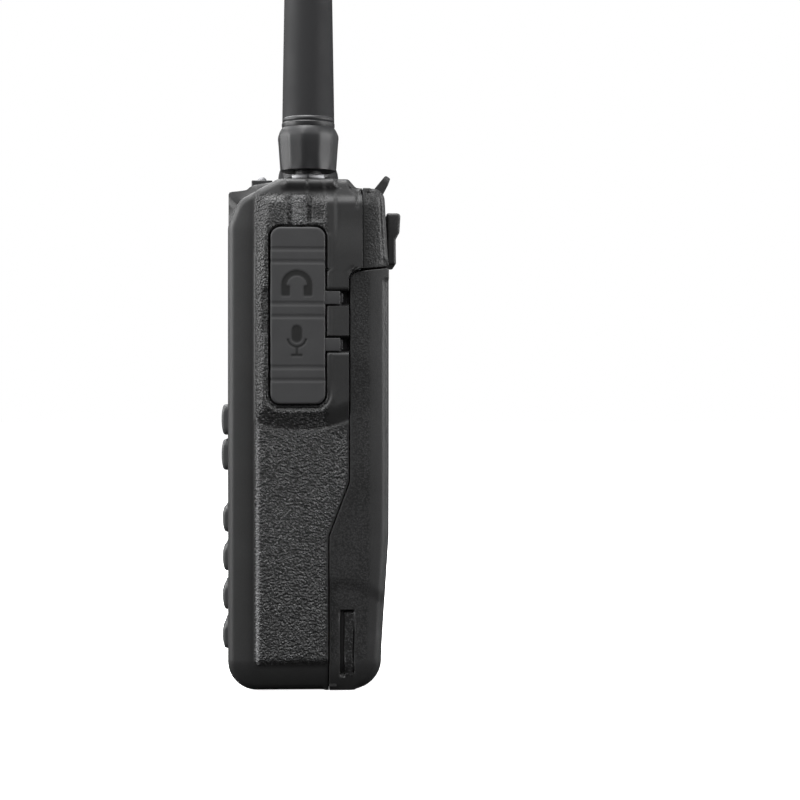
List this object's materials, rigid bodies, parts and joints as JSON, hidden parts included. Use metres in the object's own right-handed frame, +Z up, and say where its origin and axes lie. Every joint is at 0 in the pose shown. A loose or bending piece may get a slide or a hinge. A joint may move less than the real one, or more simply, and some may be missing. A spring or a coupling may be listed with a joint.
{
  "type": "handheld two-way radio",
  "caption": "Black handheld two-way radio with a removable battery, push-to-talk button, front keys, two top knobs, a screw-on antenna and a hinged accessory jack cover",
  "frame": {"origin": "centre of the base, on the surface that the radio stands on", "axes": "+Z is up, -Y is the front with the keys and display, +X is the side with the accessory jacks"},
  "size_m": [0.0624, 0.0475, 0.282],
  "materials": {
    "housing_plastic": "coarse moulded grain on the grip panels, satin elsewhere",
    "battery_plastic": "fine moulded grain",
    "cover_rubber": "matte moulded rubber",
    "key_rubber": "matte moulded rubber",
    "knob_plastic": "satin, ribbed",
    "antenna_rubber": "matte moulded rubber",
    "die_casting": "bead blasted casting",
    "steel": "plated",
    "gold_plate": "gold plated",
    "window_plastic": "clear window with a dark border",
    "lens_plastic": "frosted lens",
    "board": "green solder mask",
    "inner_plastic": "plain",
    "display_glass": "dark display",
    "cell_wrap": "shrink film",
    "silicone": "soft silicone"
  },
  "bodies": {
    "housing": {"front_housing": "housing_plastic", "rear_cover": "housing_plastic", "chassis": "die_casting", "case_seal": "silicone", "case_screws": "steel", "strap_loop": "housing_plastic", "radio_contacts": "gold_plate", "display_window": "window_plastic", "display_module": "display_glass", "main_board": "board", "shield_can": "steel", "keypad_mat": "silicone", "speaker": "inner_plastic", "speaker_mesh": "inner_plastic", "microphone": "steel", "volume_control": "inner_plastic", "channel_switch": "inner_plastic", "shaft_nuts": "steel", "antenna_connector": "gold_plate", "antenna_seal": "silicone", "indicator_lens": "lens_plastic", "side_board": "board", "side_switches": "inner_plastic", "accessory_sockets": "inner_plastic"},
    "battery": {"battery_case": "battery_plastic", "battery_cover": "battery_plastic", "battery_cells": "cell_wrap", "battery_board": "board", "battery_contacts": "gold_plate", "charge_contacts": "gold_plate"},
    "latch": {"battery_latch": "housing_plastic", "latch_spring": "steel"},
    "volume": {"volume_knob": "knob_plastic", "volume_shaft": "steel"},
    "channel": {"channel_knob": "knob_plastic", "channel_shaft": "steel"},
    "antenna_whip": {"antenna": "antenna_rubber"},
    "ptt": {"ptt_button": "key_rubber"},
    "side_upper": {"side_key_upper": "key_rubber"},
    "side_lower": {"side_key_lower": "key_rubber"},
    "jack_flap": {"jack_cover": "cover_rubber"},
    "menu_key_1_body": {"menu_key_1": "key_rubber"},
    "menu_key_2_body": {"menu_key_2": "key_rubber"},
    "menu_key_3_body": {"menu_key_3": "key_rubber"},
    "menu_key_4_body": {"menu_key_4": "key_rubber"},
    "menu_key_5_body": {"menu_key_5": "key_rubber"},
    "menu_key_6_body": {"menu_key_6": "key_rubber"},
    "number_key_1_body": {"number_key_1": "key_rubber"},
    "number_key_2_body": {"number_key_2": "key_rubber"},
    "number_key_3_body": {"number_key_3": "key_rubber"},
    "number_key_4_body": {"number_key_4": "key_rubber"},
    "number_key_5_body": {"number_key_5": "key_rubber"},
    "number_key_6_body": {"number_key_6": "key_rubber"},
    "number_key_7_body": {"number_key_7": "key_rubber"},
    "number_key_8_body": {"number_key_8": "key_rubber"},
    "number_key_9_body": {"number_key_9": "key_rubber"},
    "number_key_star_body": {"number_key_star": "key_rubber"},
    "number_key_0_body": {"number_key_0": "key_rubber"},
    "number_key_hash_body": {"number_key_hash": "key_rubber"}
  },
  "joints": [
    {"name": "battery_removal", "type": "slide", "parent": "housing", "child": "battery", "axis": [0, 1, 0], "range_m": [0, 0.025]},
    {"name": "latch_travel", "type": "slide", "parent": "housing", "child": "latch", "axis": [0, 0, 1], "range_m": [0, 0.003], "stiffness_N_per_m": 400, "springref_m": -0.001},
    {"name": "volume_turn", "type": "hinge", "parent": "housing", "child": "volume", "pos_m": [0.02, -0.0002, 0.14], "axis": [0, 0, 1], "range_deg": [0, 270]},
    {"name": "channel_turn", "type": "hinge", "parent": "housing", "child": "channel", "pos_m": [0.001, -0.0002, 0.14], "axis": [0, 0, 1], "continuous": true},
    {"name": "antenna_turn", "type": "hinge", "parent": "housing", "child": "antenna_whip", "pos_m": [-0.0185, -0.0002, 0.14], "axis": [0, 0, 1], "range_deg": [0, 1800]},
    {"name": "ptt_press", "type": "slide", "parent": "housing", "child": "ptt", "axis": [1, 0, 0], "range_m": [0, 0.001], "stiffness_N_per_m": 900, "springref_m": -0.0008},
    {"name": "side_upper_press", "type": "slide", "parent": "housing", "child": "side_upper", "axis": [1, 0, 0], "range_m": [0, 0.0008], "stiffness_N_per_m": 900, "springref_m": -0.0006},
    {"name": "side_lower_press", "type": "slide", "parent": "housing", "child": "side_lower", "axis": [1, 0, 0], "range_m": [0, 0.0008], "stiffness_N_per_m": 900, "springref_m": -0.0006},
    {"name": "jack_cover_swing", "type": "hinge", "parent": "housing", "child": "jack_flap", "pos_m": [0.03, 0.0089, 0.0966], "axis": [0, 0, 1], "range_deg": [0, 110]},
    {"name": "menu_key_1_press", "type": "slide", "parent": "housing", "child": "menu_key_1_body", "axis": [0, 1, 0], "range_m": [0, 0.0006], "stiffness_N_per_m": 900, "springref_m": -0.0004},
    {"name": "menu_key_2_press", "type": "slide", "parent": "housing", "child": "menu_key_2_body", "axis": [0, 1, 0], "range_m": [0, 0.0006], "stiffness_N_per_m": 900, "springref_m": -0.0004},
    {"name": "menu_key_3_press", "type": "slide", "parent": "housing", "child": "menu_key_3_body", "axis": [0, 1, 0], "range_m": [0, 0.0006], "stiffness_N_per_m": 900, "springref_m": -0.0004},
    {"name": "menu_key_4_press", "type": "slide", "parent": "housing", "child": "menu_key_4_body", "axis": [0, 1, 0], "range_m": [0, 0.0006], "stiffness_N_per_m": 900, "springref_m": -0.0004},
    {"name": "menu_key_5_press", "type": "slide", "parent": "housing", "child": "menu_key_5_body", "axis": [0, 1, 0], "range_m": [0, 0.0006], "stiffness_N_per_m": 900, "springref_m": -0.0004},
    {"name": "menu_key_6_press", "type": "slide", "parent": "housing", "child": "menu_key_6_body", "axis": [0, 1, 0], "range_m": [0, 0.0006], "stiffness_N_per_m": 900, "springref_m": -0.0004},
    {"name": "number_key_1_press", "type": "slide", "parent": "housing", "child": "number_key_1_body", "axis": [0, 1, 0], "range_m": [0, 0.0006], "stiffness_N_per_m": 900, "springref_m": -0.0004},
    {"name": "number_key_2_press", "type": "slide", "parent": "housing", "child": "number_key_2_body", "axis": [0, 1, 0], "range_m": [0, 0.0006], "stiffness_N_per_m": 900, "springref_m": -0.0004},
    {"name": "number_key_3_press", "type": "slide", "parent": "housing", "child": "number_key_3_body", "axis": [0, 1, 0], "range_m": [0, 0.0006], "stiffness_N_per_m": 900, "springref_m": -0.0004},
    {"name": "number_key_4_press", "type": "slide", "parent": "housing", "child": "number_key_4_body", "axis": [0, 1, 0], "range_m": [0, 0.0006], "stiffness_N_per_m": 900, "springref_m": -0.0004},
    {"name": "number_key_5_press", "type": "slide", "parent": "housing", "child": "number_key_5_body", "axis": [0, 1, 0], "range_m": [0, 0.0006], "stiffness_N_per_m": 900, "springref_m": -0.0004},
    {"name": "number_key_6_press", "type": "slide", "parent": "housing", "child": "number_key_6_body", "axis": [0, 1, 0], "range_m": [0, 0.0006], "stiffness_N_per_m": 900, "springref_m": -0.0004},
    {"name": "number_key_7_press", "type": "slide", "parent": "housing", "child": "number_key_7_body", "axis": [0, 1, 0], "range_m": [0, 0.0006], "stiffness_N_per_m": 900, "springref_m": -0.0004},
    {"name": "number_key_8_press", "type": "slide", "parent": "housing", "child": "number_key_8_body", "axis": [0, 1, 0], "range_m": [0, 0.0006], "stiffness_N_per_m": 900, "springref_m": -0.0004},
    {"name": "number_key_9_press", "type": "slide", "parent": "housing", "child": "number_key_9_body", "axis": [0, 1, 0], "range_m": [0, 0.0006], "stiffness_N_per_m": 900, "springref_m": -0.0004},
    {"name": "number_key_star_press", "type": "slide", "parent": "housing", "child": "number_key_star_body", "axis": [0, 1, 0], "range_m": [0, 0.0006], "stiffness_N_per_m": 900, "springref_m": -0.0004},
    {"name": "number_key_0_press", "type": "slide", "parent": "housing", "child": "number_key_0_body", "axis": [0, 1, 0], "range_m": [0, 0.0006], "stiffness_N_per_m": 900, "springref_m": -0.0004},
    {"name": "number_key_hash_press", "type": "slide", "parent": "housing", "child": "number_key_hash_body", "axis": [0, 1, 0], "range_m": [0, 0.0006], "stiffness_N_per_m": 900, "springref_m": -0.0004}
  ]
}
